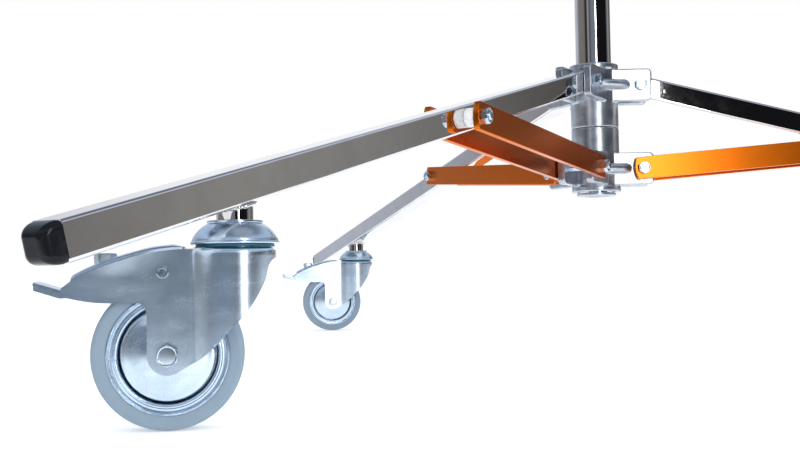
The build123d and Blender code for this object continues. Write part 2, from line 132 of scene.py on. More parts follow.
def leg_frame(leg):
    """X down the leg tube from its pivot, Y to its left, Z out of its top face."""
    along = outward(leg) * cos(leg_slope) - np.array([0, 0, sin(leg_slope)])
    return axes_frame(joints[f"leg_fold_{leg}"]["pos_m"], along, (0, 0, 1))


def brace_frame(leg):
    """X along the brace from its hub pivot to its bolt in the leg."""
    pivot = np.array(joints[f"brace_fold_{leg}"]["pos_m"])
    bolt = leg_frame(leg) @ np.array([brace_along_leg * mm, 0, 0, 1])
    return axes_frame(pivot, bolt[:3] - pivot, (0, 0, 1))


def castor_frame(leg):
    """On the floor under the swivel axis, X towards the wheel."""
    x, y, _ = joints[f"castor_swivel_{leg}"]["pos_m"]
    floor = joints[f"wheel_spin_{leg}"]["pos_m"][2] - wheel_r * mm
    return axes_frame((x, y, floor), (cos(heading), sin(heading), 0), (0, 0, 1))


# ---------------------------------------------------------------- surfaces
# A surface is a pair: its points, one row each, and its faces as lists of point numbers.

def grid(points, around_u=False, around_v=False):
    """Faces over points[u, v], closed round u or v when asked."""
    nu, nv = points.shape[:2]
    number = np.arange(nu * nv).reshape(nu, nv)
    if around_u:
        number = np.concatenate([number, number[:1]], axis=0)
    if around_v:
        number = np.concatenate([number, number[:, :1]], axis=1)
    corners = [number[:-1, :-1], number[1:, :-1], number[1:, 1:], number[:-1, 1:]]
    faces = np.stack([c.ravel() for c in corners], axis=1)
    return points.reshape(-1, 3), faces.tolist()


def joined(*surfaces):
    """Several surfaces as one."""
    points = []
    faces = []
    count = 0
    for surface_points, surface_faces in surfaces:
        points.append(surface_points)
        faces += [[count + corner for corner in face] for face in surface_faces]
        count += len(surface_points)
    return np.concatenate(points), faces


def moved(surface, matrix):
    """The surface turned and moved by a matrix whose place is in millimetres."""
    points, faces = surface
    return points @ matrix[:3, :3].T + matrix[:3, 3], faces


def flipped(surface):
    """The surface with its faces turned to look the other way."""
    return surface[0], [face[::-1] for face in surface[1]]


def mirrored(surface):
    """Mirror image with Y reversed, its faces turned outward again."""
    return flipped((surface[0] * np.array([1, -1, 1]), surface[1]))


def shifted(surface, x=0.0, y=0.0, z=0.0):
    """The surface moved without turning."""
    return surface[0] + np.array([x, y, z]), surface[1]


def laid_along_y(surface, x, y, z, sign=1):
    """A surface made along Z, laid so that its Z runs along +Y or -Y from the point given."""
    matrix = np.array(Matrix.Rotation(-sign * pi / 2, 4, "X"))
    matrix[:3, 3] = (x, y, z)
    return moved(surface, matrix)


def on_both_sides(surface, x, z=0.0):
    """A surface made along Z, laid along +Y and along -Y from the axis."""
    return [laid_along_y(surface, x, 0, z, side) for side in sides]


def cylindrical(radius, angle, z):
    """Points x = r cos a, y = r sin a and z, over arrays that broadcast together."""
    radius, angle, z = np.broadcast_arrays(radius, angle, z)
    return np.stack([radius * np.cos(angle), radius * np.sin(angle), z], axis=-1)


def arc(cx, cy, radius, start, end, count):
    """Points of an arc, angles in degrees."""
    angle = np.radians(np.linspace(start, end, count))
    return np.stack([cx + radius * np.cos(angle), cy + radius * np.sin(angle)], axis=1)


def eased(corners, count=6):
    """Closed outline with each corner (x, y, radius) rounded by a rational quadratic curve, an
    arc of that radius unless the sides are too short for it."""
    runs = []
    total = len(corners)
    for index, (x, y, radius) in enumerate(corners):
        here = np.array([x, y], float)
        before = np.array(corners[index - 1][:2], float) - here
        after = np.array(corners[(index + 1) % total][:2], float) - here
        if radius <= 0:
            runs.append(here[None])
            continue
        to_before = before / np.linalg.norm(before)
        to_after = after / np.linalg.norm(after)
        half_angle = np.arccos(np.clip(np.dot(to_before, to_after), -1, 1)) / 2
        cut = min(radius / np.tan(half_angle), 0.49 * np.linalg.norm(before),
                  0.49 * np.linalg.norm(after))
        t = np.linspace(0, 1, count + 1)[:, None]
        start = here + to_before * cut
        end = here + to_after * cut
        bend = sin(half_angle) if half_angle > 0.1 else 1
        denominator = (1 - t) ** 2 + 2 * t * (1 - t) * bend + t ** 2
        run = ((1 - t) ** 2 * start + 2 * t * (1 - t) * bend * here + t ** 2 * end) / denominator
        runs.append(run)
    return np.concatenate(runs)


def turned(profile, count=96):
    """Profile of (radius, z) points turned round Z: x = r cos a, y = r sin a."""
    profile = np.asarray(profile, float)
    angle = np.linspace(0, 2 * pi, count, endpoint=False)[:, None]
    return grid(cylindrical(profile[:, 0], angle, profile[:, 1]), True, True)


def signed_area(outline):
    """Half the sum of x times the next y less the next x times y: above zero when the outline
    runs counter-clockwise."""
    x, y = outline.T
    return 0.5 * np.sum(x * np.roll(y, -1) - np.roll(x, -1) * y)


def outline_normals(outline):
    """Outward unit normals of a closed outline."""
    along = np.roll(outline, -1, axis=0) - np.roll(outline, 1, axis=0)
    normal = np.stack([along[:, 1], -along[:, 0]], axis=1)
    normal /= np.maximum(np.linalg.norm(normal, axis=1, keepdims=True), 1e-9)
    return normal * np.sign(signed_area(outline))


def slab(outline, low, high, ease):
    """Outline in XY raised from low to high along Z. The rim of each face is drawn in by a
    quarter round of radius ease, and the two faces close it."""
    rounds = 4
    outline = np.asarray(outline, float)
    if signed_area(outline) < 0:
        outline = outline[::-1]
    normal = outline_normals(outline)
    angle = np.linspace(0, pi / 2, rounds + 1)
    inset = np.concatenate([[ease + 0.5], ease * (1 - np.sin(angle))])
    height = np.concatenate([[0.0], ease * (1 - np.cos(angle))])
    insets = np.concatenate([inset, inset[::-1]])
    heights = np.concatenate([low + height, high - height[::-1]])
    flat = outline[None] - insets[:, None, None] * normal[None]
    points = np.concatenate([flat, np.broadcast_to(heights[:, None, None],
                                                   flat.shape[:2] + (1,))], axis=2)
    vertices, faces = grid(points.transpose(1, 0, 2), True, False)
    rows = len(insets)
    faces.append([column * rows for column in range(len(outline))][::-1])
    faces.append([column * rows + rows - 1 for column in range(len(outline))])
    return vertices, faces


def along_x(section, stations, scale):
    """Points [station, corner] of a YZ section carried along X, scaled about the axis."""
    points = np.empty((len(stations), len(section), 3))
    points[:, :, 0] = np.array(stations)[:, None]
    points[:, :, 1:] = section[None] * np.array(scale)[:, None, None]
    return points


def held(outline, reach=0.4):
    """Closed outline with two more points on each long straight run, a short reach from its
    ends, so that a flat side is shaded flat."""
    step = np.roll(outline, -1, axis=0) - outline
    length = np.linalg.norm(step, axis=1, keepdims=True)
    unit = step / np.maximum(length, 1e-9)
    points = np.stack([outline, outline + unit * reach, outline + unit * (length - reach)], axis=1)
    keep = np.repeat(length > 4 * reach, 3, axis=1)
    keep[:, 0] = True
    return points[keep]


def square_section(width, corner):
    """Rounded square, counter-clockwise."""
    half = width / 2
    return held(eased([(half, -half, corner), (half, half, corner), (-half, half, corner),
                       (-half, -half, corner)], 8))


def hexagon(flats, height, chamfer=0.55, crown=0.0, hole=core_r, both=False):
    """Bolt head or nut along Z. At angle a the side is at flats / 2 / cos(a from the middle of
    its flat), cut by cones that start chamfer below the corners' tops; the top is a disc with a
    raised ring. With a hole, the surface ends on the hole's wall."""
    steps = 6 * 12
    dish = 0.25
    angle = np.linspace(0, 2 * pi, steps, endpoint=False)
    from_flat = (angle + pi / 6) % (pi / 3) - pi / 6
    prism = flats / 2 / np.cos(from_flat)
    corner = flats / 2 / cos(pi / 6)
    z = np.concatenate([[0.0], np.linspace(0.1, chamfer, 4), [height / 2],
                        np.linspace(height - chamfer, height, 5)])
    top_cone = flats / 2 * 0.985 + (height - z) * ((corner - flats / 2) / chamfer)
    radius = np.minimum(prism[:, None], top_cone[None])
    if both:
        radius = np.minimum(radius, (flats / 2 * 0.985 + z * ((corner - flats / 2) / chamfer)))
    rows = [np.stack([radius[:, i], np.full(steps, z[i])], axis=1) for i in range(len(z))]
    for share, drop in ((0.93, 0.0), (0.88, dish * 0.4), (0.84, dish), (0.5, dish - crown)):
        reach = max(flats / 2 * share, hole)
        rows.append(np.stack([np.full(steps, reach), np.full(steps, height - drop)], axis=1))
    for top in (height - dish + crown, 0.0):
        rows.append(np.stack([np.full(steps, hole), np.full(steps, top)], axis=1))
    table = np.stack(rows, axis=1)
    return grid(cylindrical(table[:, :, 0], angle[:, None], table[:, :, 1]), True, True)


def rod(radius, low, high):
    """Solid round bar along Z with eased rims."""
    ease = 0.3
    profile = [(core_r, low), (radius - ease, low), (radius - 0.3 * ease, low + 0.3 * ease),
               (radius, low + ease), (radius, high - ease),
               (radius - 0.3 * ease, high - 0.3 * ease), (radius - ease, high), (core_r, high)]
    return turned(profile, 48)


def ring(outer, inner, low, high, ease=0.25, count=64):
    """Flat ring along Z with eased rims."""
    return turned(eased([(inner, low, 0), (outer, low, ease), (outer, high, ease),
                         (inner, high, ease)], 3), count)


def threaded(radius, low, high):
    """Threaded stud end along Z: the radius falls by a triangle wave of one pitch that climbs
    with the angle, and fades into a cone at its tip."""
    count = 36
    rows = max(int((high - low) / pitch * 9), 8)
    z = np.linspace(low, high, rows)[None]
    angle = np.linspace(0, 2 * pi, count, endpoint=False)[:, None]
    phase = (z / pitch - angle / (2 * pi)) % 1
    depth = 0.55 * np.abs(2 * phase - 1)
    tip = np.clip((z - (high - 1.0)) / 1.0, 0, 1)
    points = cylindrical(np.minimum(radius - depth, radius - tip), angle, z)
    first, last = (cylindrical(core_r, angle, end) for end in (low, high))
    return grid(np.concatenate([first, points, last], axis=1), True, True)


# ---------------------------------------------------------------- shader expressions

class Signal:
    """A socket whose arithmetic adds Math nodes to its finish."""

    def __init__(self, finish, socket):
        self.finish = finish
        self.socket = socket

    def math(self, operation, *others):
        return self.finish.node("ShaderNodeMath", {"operation": operation}, [self, *others])

    def __add__(self, other):
        return self.math("ADD", other)

    __radd__ = __add__

    def __mul__(self, other):
        return self.math("MULTIPLY", other)

    __rmul__ = __mul__

    def __truediv__(self, other):
        return self.math("DIVIDE", other)

    def ramp(self, low, high):
        """Smooth step from 0 at low to 1 at high."""
        return self.finish.node("ShaderNodeMapRange", {"interpolation_type": "SMOOTHSTEP"},
                                [self, low, high, 0.0, 1.0])


class Finish:
    """A node tree that adds nodes by type, settings and inputs."""

    def __init__(self, tree):
        self.tree = tree

    def node(self, kind, settings=None, inputs=(), output=0):
        made = self.tree.nodes.new(kind)
        for name, value in (settings or {}).items():
            if name == "stops":
                self.set_stops(made.color_ramp, value)
            else:
                setattr(made, name, value)
        pairs = inputs.items() if isinstance(inputs, dict) else enumerate(inputs)
        for key, value in pairs:
            self.feed(made.inputs[key], value)
        return Signal(self, made.outputs[output])

    @staticmethod
    def set_stops(ramp, stops):
        while len(ramp.elements) < len(stops):
            ramp.elements.new(0.5)
        for element, (place, colour) in zip(ramp.elements, stops):
            element.position = place
            element.color = (*colour, 1.0)

    def feed(self, socket, value):
        if isinstance(value, Signal):
            self.tree.links.new(value.socket, socket)
        else:
            socket.default_value = value

    def look(self, colour, roughness):
        """Feed the shader's colour and roughness."""
        self.feed(self.shader["Base Color"], colour)
        self.feed(self.shader["Roughness"], roughness)

    def mixed(self, factor, first, second):
        """Colour that goes from first to second with the factor."""
        return self.node("ShaderNodeMix", {"data_type": "RGBA"},
                         {0: factor, 6: colour4(first), 7: colour4(second)}, output=2)

    def noise(self, scale, detail=2.0, roughness=0.5, stretch=(1, 1, 1)):
        """Noise in object coordinates, with scale in cycles a metre."""
        place = self.node("ShaderNodeTexCoord", output=3)
        place = self.node("ShaderNodeMapping", inputs={0: place, 3: stretch})
        return self.node("ShaderNodeTexNoise",
                         inputs={"Vector": place, "Scale": scale, "Detail": detail,
                                 "Roughness": roughness})


def colour4(value):
    return value if isinstance(value, Signal) else (*value, 1.0)


def new_finish(name, colour, roughness, metallic=0.0, **fixed):
    """Material with a Principled shader whose steady values are set on its own sockets."""
    material = bpy.data.materials.new(name)
    material.use_nodes = True
    finish = Finish(material.node_tree)
    finish.material = material
    shader = material.node_tree.nodes["Principled BSDF"]
    finish.shader = shader.inputs
    finish.shader["Base Color"].default_value = (*colour, 1.0)
    finish.shader["Roughness"].default_value = roughness
    finish.shader["Metallic"].default_value = metallic
    for socket, value in fixed.items():
        finish.shader[socket.replace("_", " ")].default_value = value
    return finish


def bumped(finish, height, distance, strength=1.0):
    """Feed Normal from a height signal, with the relief in millimetres."""
    bump = finish.node("ShaderNodeBump", inputs={"Strength": strength,
                                                 "Distance": distance * mm, "Height": height})
    finish.feed(finish.shader["Normal"], bump)


def chrome_finish():
    """Bright chrome plate: faint smears in the gloss and a slow wave from the tube mill."""
    f = new_finish("chrome_steel", (0.80, 0.79, 0.785), 0.05, 1.0)
    smear = f.noise(38.0, 4.0, 0.6)
    fine = f.noise(900.0, 2.0, 0.5)
    f.look(f.mixed(smear.ramp(0.3, 0.75), (0.80, 0.79, 0.785), (0.74, 0.725, 0.715)),
           0.025 + smear.ramp(0.45, 0.8) * 0.04 + fine * 0.012)
    bumped(f, f.noise(26.0, 1.0) + fine * 0.004, 0.05, 0.35)
    return f


def cast_finish():
    """Polished die-cast aluminium: soft gloss, fine grain and shallow flow marks."""
    f = new_finish("cast_aluminium", (0.74, 0.76, 0.79), 0.27, 1.0)
    cloud = f.noise(70.0, 3.0, 0.6)
    grain = f.noise(1500.0, 2.0, 0.6)
    f.look(f.mixed(cloud.ramp(0.3, 0.7), (0.44, 0.48, 0.54), (0.62, 0.66, 0.71)),
           0.24 + cloud * 0.10 + grain * 0.05)
    bumped(f, cloud * 0.7 + grain * 0.06, 0.08, 0.5)
    return f


def orange_finish():
    """Orange anodised aluminium bar: a tinted satin metal under a thin clear skin, with slow
    drifts in its tone and gloss."""
    f = new_finish("orange_anodised", (0.84, 0.20, 0.008), 0.27, 1.0, Coat_Weight=0.12,
                   Coat_Roughness=0.2)
    drift = f.noise(45.0, 2.0, 0.5)
    grain = f.noise(1300.0, 2.0, 0.5)
    f.look(f.mixed(drift, (0.70, 0.148, 0.004), (0.735, 0.160, 0.006)),
           0.25 + drift * 0.02 + grain * 0.015)
    bumped(f, grain, 0.001, 0.1)
    return f


def nylon_finish():
    """White nylon, slightly see-through, with faint turning rings."""
    f = new_finish("white_nylon", (0.86, 0.88, 0.88), 0.38, 0.0, Subsurface_Weight=0.25)
    f.shader["Subsurface Scale"].default_value = 0.003
    speck = f.noise(500.0, 2.0, 0.5)
    f.look(f.mixed(speck, (0.82, 0.85, 0.85), (0.92, 0.93, 0.93)), 0.32 + speck * 0.14)
    bumped(f, speck, 0.02, 0.5)
    return f


def black_plastic_finish():
    """Glossy black moulded plastic with a fine skin."""
    f = new_finish("black_plastic", (0.010, 0.011, 0.014), 0.18, 0.0, Specular_IOR_Level=0.18)
    skin = f.noise(900.0, 3.0, 0.6)
    wear = f.noise(120.0, 3.0, 0.6)
    f.look(f.mixed(wear.ramp(0.5, 0.8), (0.007, 0.008, 0.011), (0.016, 0.017, 0.021)),
           0.12 + skin * 0.08 + wear * 0.05)
    bumped(f, skin, 0.03, 0.35)
    return f


def zinc_finish(name, tint, crystal, gloss):
    """Zinc plate: bluish metal with clouds of fine crystals, mottled in tone and gloss."""
    f = new_finish(name, tint, gloss, 1.0)
    cloud = f.noise(70.0, 3.0, 0.6)
    streak = f.noise(30.0, 3.0, 0.65, (1.0, 1.0, 3.0))
    fine = f.noise(crystal, 3.0, 0.7)
    dark = tuple(c * 0.72 for c in tint)
    tone = cloud.ramp(0.3, 0.7) * 0.4 + streak.ramp(0.35, 0.7) * 0.3 + fine.ramp(0.3, 0.7) * 0.45
    f.look(f.mixed(tone, dark, tint), gloss - 0.06 + streak * 0.07 + fine * 0.05)
    bumped(f, cloud, 0.03, 0.3)
    return f


def seal_finish():
    f = new_finish("blue_seal", (0.01, 0.10, 0.14), 0.35, 0.0)
    skin = f.noise(700.0, 2.0, 0.5)
    f.look(f.mixed(skin, (0.008, 0.08, 0.11), (0.014, 0.13, 0.17)), 0.28 + skin * 0.15)
    return f


def rubber_finish():
    """Blue-grey rubber: dull, with dust in patches and a fine moulded skin."""
    f = new_finish("grey_rubber", (0.22, 0.29, 0.36), 0.6, 0.0)
    dust = f.noise(80.0, 4.0, 0.6)
    skin = f.noise(1100.0, 3.0, 0.6)
    f.look(f.mixed(dust, (0.205, 0.275, 0.345), (0.255, 0.33, 0.405)), 0.46 + skin * 0.2)
    bumped(f, skin * 0.6 + dust * 0.4, 0.05, 0.4)
    return f


finishes = {
    "chrome_steel": chrome_finish(),
    "cast_aluminium": cast_finish(),
    "orange_anodised": orange_finish(),
    "white_nylon": nylon_finish(),
    "black_plastic": black_plastic_finish(),
    "zinc_fasteners": zinc_finish("zinc_fasteners", (0.68, 0.79, 0.89), 1100.0, 0.22),
    "zinc_pressed": zinc_finish("zinc_pressed", (0.72, 0.86, 1.0), 1100.0, 0.26),
    "blue_seal": seal_finish(),
    "grey_rubber": rubber_finish(),
}


# ---------------------------------------------------------------- pieces

def add_modifier(made, name, kind, **settings):
    modifier = made.modifiers.new(name, kind)
    for key, value in settings.items():
        setattr(modifier, key, value)


def piece(name, surface, place, body, node, slot, crease=35, thick=0.0, bevel=0.0):
    """Make a mesh object from a surface in millimetres, ride it on its body and let it stand
    for its CAD node. An open sheet is given its wall by Solidify, inwards."""
    points, faces = surface
    if place is None:
        world = points * mm
    else:
        world = (points * mm) @ place[:3, :3].T + place[:3, 3]
    mesh = bpy.data.meshes.new(name)
    mesh.from_pydata(world.tolist(), [], faces)
    mesh.polygons.foreach_set("use_smooth", np.ones(len(mesh.polygons), bool))
    mesh.set_sharp_from_angle(angle=radians(crease))
    mesh.materials.append(finishes[slot].material)
    made = bpy.data.objects.new(name, mesh)
    bpy.context.scene.collection.objects.link(made)
    if thick:
        add_modifier(made, "wall", "SOLIDIFY", thickness=thick * mm, offset=-1,
                     use_even_offset=True)
    if bevel:
        add_modifier(made, "edge", "BEVEL", width=bevel * mm, segments=3, limit_method="ANGLE",
                     angle_limit=radians(50), harden_normals=True)
    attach(made, body)
    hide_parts(node)


def column():
    """Chrome tube: a closed ring profile turned round the column's axis, rims eased."""
    low, high = (corner.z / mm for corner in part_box("column"))
    low += foot_rim
    profile = eased([(column_r, low, 0.4), (column_r, high, 0.5),
                     (column_r - column_wall, high, 0.5), (column_r - column_wall, low, 0.2)], 4)
    piece("column_tube", turned(profile, 160), None, "root", "column", "chrome_steel")


def foot_plug():
    """Foot of the column: a cup pressed up into the tube, with a rim that covers its end."""
    low, high = (corner.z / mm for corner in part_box("foot_plug"))
    r = column_r - column_wall
    rim_r = column_r + 2.0
    profile = eased([(core_r, high, 0), (r, high, 0.3), (r, low + foot_rim, 0),
                     (rim_r, low + foot_rim, 0.6), (rim_r, low, 1.4),
                     (15.0, low, 0.8), (14.0, low + 1.6, 0.8), (core_r, low + 1.6, 0)], 4)
    piece("column_foot_plug", turned(profile[::-1], 128), None, "root", "foot_plug",
          "cast_aluminium")


def cast_hub(name, node, body):
    """Hub casting: its CAD shape merged, rebuilt on a fine even mesh and relaxed, so that its
    edges and inner corners take the small rounds of a casting."""
    made = bpy.data.objects.new(name, frame["nodes"][node].data.copy())
    bpy.context.scene.collection.objects.link(made)
    add_modifier(made, "weld", "WELD", merge_threshold=0.01 * mm)
    add_modifier(made, "even", "REMESH", mode="VOXEL", voxel_size=0.9 * mm, use_smooth_shade=True)
    add_modifier(made, "relax", "SMOOTH", factor=0.5, iterations=4)
    graph = bpy.context.evaluated_depsgraph_get()
    final = bpy.data.meshes.new_from_object(made.evaluated_get(graph))
    made.modifiers.clear()
    made.data = final
    final.materials.clear()
    final.materials.append(finishes["cast_aluminium"].material)
    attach(made, body)
    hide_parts(node)


def hex_nut(height):
    return hexagon(hex_flats, height, hole=pin_r - fit_gap, both=True)


def bolt_y(low, high, x=0.0, z=0.0):
    """M8 bolt along Y with its head below low and its nut and thread above high."""
    head = laid_along_y(hexagon(hex_flats, head_height, crown=0.15), x, low, z, -1)
    nut = laid_along_y(hex_nut(nut_height), x, high, z)
    shank = laid_along_y(rod(pin_r, 0, high - low + 0.2), x, low - 0.1, z)
    stud = laid_along_y(threaded(pin_r, 0, nut_height + stud_proud), x, high, z)
    return joined(head, nut, shank, stud)


def leg_pivot_bolts():
    """One level bolt across each pair of ears, through the leg's pivot."""
    surfaces = []
    for leg in legs:
        level = axes_frame(np.array(joints[f"leg_fold_{leg}"]["pos_m"]) / mm, outward(leg),
                           (0, 0, 1))
        surfaces.append(moved(bolt_y(-ear_outer, ear_outer), level))
    piece("leg_pivot_bolts_m8", joined(*surfaces), None, "slider", "leg_pivot_bolts",
          "zinc_fasteners", crease=22)


def leg_tube():
    """Chrome square tube: a rounded square outside and inside, carried along X, its two end
    rings eased."""
    ends = (-leg_inner_margin, leg_length)
    ease = 0.35
    outer = square_section(leg_width, leg_corner)
    inner = square_section(leg_width - 2 * leg_wall, 0.6)
    stations = [ends[0], ends[0], ends[0] + ease, *np.linspace(ends[0] + 5, ends[1] - 5, 9),
                ends[1] - ease, ends[1], ends[1]]
    scales = np.ones(len(stations))
    scales[[1, -2]] = 1 - 2 * ease / leg_width
    points = along_x(outer, stations, scales)
    points[[0, -1], :, 1:] = inner
    return flipped(grid(points, True, True))


def leg_cap():
    """Push-in end cap: the tube's section carried out by cap_length as a quarter ellipse,
    x = L sin t and size 1 - k (1 - cos t), with a flat shank inside the tube."""
    t = np.linspace(0, pi / 2, 24)
    seat = leg_length + 0.05
    x = seat + (cap_length - 0.05) * np.sin(t)
    scale = 1 - 0.60 * (1 - np.cos(t))
    stations = np.concatenate([[leg_length - 22, leg_length - 21.5, seat, seat + 0.02], x[1:]])
    shank = (leg_width - 2 * leg_wall - 0.3) / leg_width
    scales = np.concatenate([[shank * 0.97, shank, shank, 0.99], scale[1:]])
    points = along_x(square_section(leg_width, 5.2), stations, scales)
    vertices, faces = grid(points, False, True)
    count = points.shape[1]
    faces.append(list(range(count))[::-1])
    faces.append(list(range(len(vertices) - count, len(vertices))))
    return flipped((vertices, faces))


def leg_fasteners():
    """The brace bolt's shank in the leg and a domed stop rivet on each side."""
    reach = bar_inner - fit_gap
    shank = laid_along_y(rod(pin_r, -reach, reach), brace_along_leg, 0, 0)
    face = leg_width / 2
    dome = [(core_r, face - leg_wall), (stop_rivet_r, face - leg_wall), (stop_rivet_r, face),
            (stop_rivet_r + 0.4, face), (stop_rivet_r + 0.3, face + 0.12),
            (stop_rivet_r * 0.6, face + 0.24), (core_r, face + 0.25)]
    return joined(shank, *on_both_sides(turned(dome, 24), stop_rivet_along))


def brace_spacers():
    """Turned nylon sleeves: a ring profile with eased rims, one each side of the leg."""
    sleeve = ring(spacer_r, pin_r, leg_width / 2, bar_inner - fit_gap, 0.6, 72)
    return joined(*on_both_sides(sleeve, brace_along_leg))


def brace_span():
    """Distance between a brace's two pivots."""
    pivot = np.array(joints["brace_fold_3"]["pos_m"])
    bolt = leg_frame(3) @ np.array([brace_along_leg * mm, 0, 0, 1])
    return np.linalg.norm(bolt[:3] - pivot) / mm


def brace_bars():
    """Flat bars with shallow arc ends: an outline raised to the bar's thickness with every
    rim drawn in by a small quarter round."""
    half = bar_width / 2
    low = -bar_end_margin
    high = brace_span() + bar_end_margin
    bulge_r = (half ** 2 + bar_end_bulge ** 2) / (2 * bar_end_bulge)
    sweep = np.degrees(np.arcsin(half / bulge_r)) * 0.93
    right = arc(high + bar_end_bulge - bulge_r, 0, bulge_r, -sweep, sweep, 17)
    left = arc(low - bar_end_bulge + bulge_r, 0, bulge_r, 180 - sweep, 180 + sweep, 17)
    ease = [(right[-1][0] - 1.3, half), (left[0][0] + 1.3, half)]
    back = [(left[-1][0] + 1.3, -half), (right[0][0] - 1.3, -half)]
    outline = np.concatenate([right, ease, left, back])
    bar = slab(outline, 0, bar_thick, 0.45)
    return joined(laid_along_y(mirrored(bar), 0, bar_inner, 0),
                  laid_along_y(bar, 0, -bar_inner, 0, -1))


def brace_fasteners():
    """Hub pivot bolt, washers between ears and bars, and the nuts of the brace bolt."""
    span = brace_span()
    bar_outer = bar_inner + bar_thick
    surfaces = [bolt_y(-bar_outer, bar_outer)]
    for side in sides:
        washer = ring(8.0, pin_r, bar_inner - 1.0, bar_inner)
        surfaces.append(laid_along_y(washer, 0, 0, 0, side))
        surfaces.append(laid_along_y(hex_nut(nut_height), span, side * bar_outer, 0, side))
        stud = threaded(pin_r, 0, bar_thick + nut_height + stud_proud)
        surfaces.append(laid_along_y(stud, span, side * bar_inner, 0, side))
    return joined(*surfaces)


def lock_bolt():
    """Hexagon bolt that holds the sliding hub, from the box of its CAD node."""
    low, high = (np.array(corner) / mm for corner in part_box("hub_lock_bolt"))
    z = (low[2] + high[2]) / 2
    head = hexagon(hex_flats, head_height, crown=0.2)
    tip = -low[0]
    start = -high[0]
    shank = threaded(pin_r, start, tip - head_height)
    bolt = joined(shank, shifted(head, z=tip - head_height))
    place = axes_frame((0, 0, z), (0, 0, 1), (-1, 0, 0))
    piece("hub_lock_bolt_m8", moved(bolt, place), None, "slider", "hub_lock_bolt",
          "zinc_fasteners")


def castor_stub(leg):
    """Chrome stub: a tube whose top follows the leg's sloping underside, with a lumpy weld
    bead round the joint."""
    to_leg = np.linalg.inv(leg_frame(leg)) @ castor_frame(leg)
    row = to_leg[2, :3]
    height = (-leg_width / 2 * mm - to_leg[2, 3]) / mm

    def underside(radius, angle):
        x = radius * np.cos(angle)
        y = radius * np.sin(angle)
        return (height - row[0] * x - row[1] * y) / row[2]

    angle = np.linspace(0, 2 * pi, 96, endpoint=False)
    top = underside(stub_r, angle)
    edge = stub_bottom + 0.4
    rows = [cylindrical(radius, angle, stub_bottom) for radius in (king_r, stub_r * 0.97)]
    for t in (0.0, 0.3, 0.6, 0.9, 1.0):
        rows.append(cylindrical(stub_r, angle, edge + (top - edge) * t))
    rows.append(cylindrical(king_r, angle, underside(king_r, angle)))
    tube = grid(np.stack(rows, 1), True, True)
    lump = 1.9 + 0.35 * np.cos(23 * angle) + 0.25 * np.cos(11 * angle + 1.3)
    around = np.linspace(0, 2 * pi, 12, endpoint=False)
    rise = 0.75 * lump[:, None] * np.sin(around)
    r = stub_r + 0.2 + lump[:, None] * np.cos(around)
    angle = angle[:, None]
    bead = cylindrical(r, angle, underside(r, angle) - 0.35 + rise)
    return joined(tube, grid(bead, True, True))


def king_bolt():
    """Bolt up into the stub with its lower washer, and the flat washer over the race."""
    washer = 2.5
    head_top = fork_top - sheet_thick - fit_gap - washer
    turn = np.array(Matrix.Rotation(pi, 4, "X"))
    turn[2, 3] = head_top
    return joined(rod(king_r, head_top - 0.5, stub_bottom + 8.0),
                  moved(hexagon(19.0, 7.5, chamfer=1.4), turn),
                  ring(12.0, king_r, head_top, head_top + washer),
                  ring(18.8, king_r, castor_height, stub_bottom, 0.5))


def race():
    """Domed upper race turned round the swivel axis: a flat crown that falls to the rim as a
    superellipse, a fine rolled bead, and the neck that the fork turns on."""
    rim = fork_top + 2.2
    bead = 0.9
    t = np.linspace(0, pi / 2, 26)
    power = 2 / 1.38
    low = rim + 2 * bead + 0.6
    fall = np.stack([18.0 + 11.0 * np.sin(t) ** power,
                     low + (castor_height - low) * np.cos(t) ** power], 1)
    outer = [(king_r, castor_height), (12.0, castor_height)] + fall.tolist()
    outer += arc(29.1, rim + bead, bead, 80, -100, 10).tolist()
    neck_r = 8.5
    foot = fork_top - sheet_thick - fit_gap
    inner = [(27.4, rim + 0.3), (26.6, rim + 2.6), (24.4, rim + 5.6), (18.0, castor_height - 2.6),
             (neck_r, castor_height - 2.8), (neck_r, foot), (king_r, foot)]
    return turned(np.array(outer + inner)[::-1], 128)


def bearing_balls():
    """Ring of balls between the fork's top and the race, set back under the dome."""
    balls = 14
    ring_r = 18.5
    ball_r = 3.0
    t = np.linspace(0, pi, 9)
    ball = turned(np.stack([np.maximum(ball_r * np.sin(t), 0.01), -ball_r * np.cos(t)], 1), 12)
    return joined(*[shifted(ball, ring_r * cos(turn), ring_r * sin(turn), fork_top + ball_r)
                    for turn in 2 * pi * np.arange(balls) / balls])


def seal_ring():
    """Blue ring that closes the race outside its balls."""
    low = fork_top + fit_gap
    high = low + 2.0
    return turned(eased([(23.0, low, 0), (26.6, low, 0.3), (26.2, high, 0.4), (23.0, high, 0)],
                        3), 128)


def hermite(points, count=10):
    """Smooth curve through the points: a Catmull-Rom spline sampled evenly on each span."""
    p = np.asarray(points, float)
    padded = np.concatenate([[2 * p[0] - p[1]], p, [2 * p[-1] - p[-2]]])
    t = np.linspace(0, 1, count, endpoint=False)[:, None]
    runs = []
    for i in range(1, len(padded) - 2):
        a, b, c, d = padded[i - 1:i + 3]
        runs.append(0.5 * (2 * b + (c - a) * t + (2 * a - 5 * b + 4 * c - d) * t ** 2
                           + (3 * b - a - 3 * c + d) * t ** 3))
    runs.append(p[-1:])
    return np.concatenate(runs)


side_r = 54.3
blend_r = 5.0
roll_r = 4.0
side_centre = bowl_r - side_r
blend_x = sqrt((side_r + blend_r) ** 2 - (cheek_outer + blend_r - side_centre) ** 2)
side_turn = asin(blend_x / (side_r + blend_r))
bowl_length = bowl_r * pi / 2
side_length = side_r * side_turn
blend_length = blend_r * side_turn
flat_start = bowl_length + side_length + blend_length


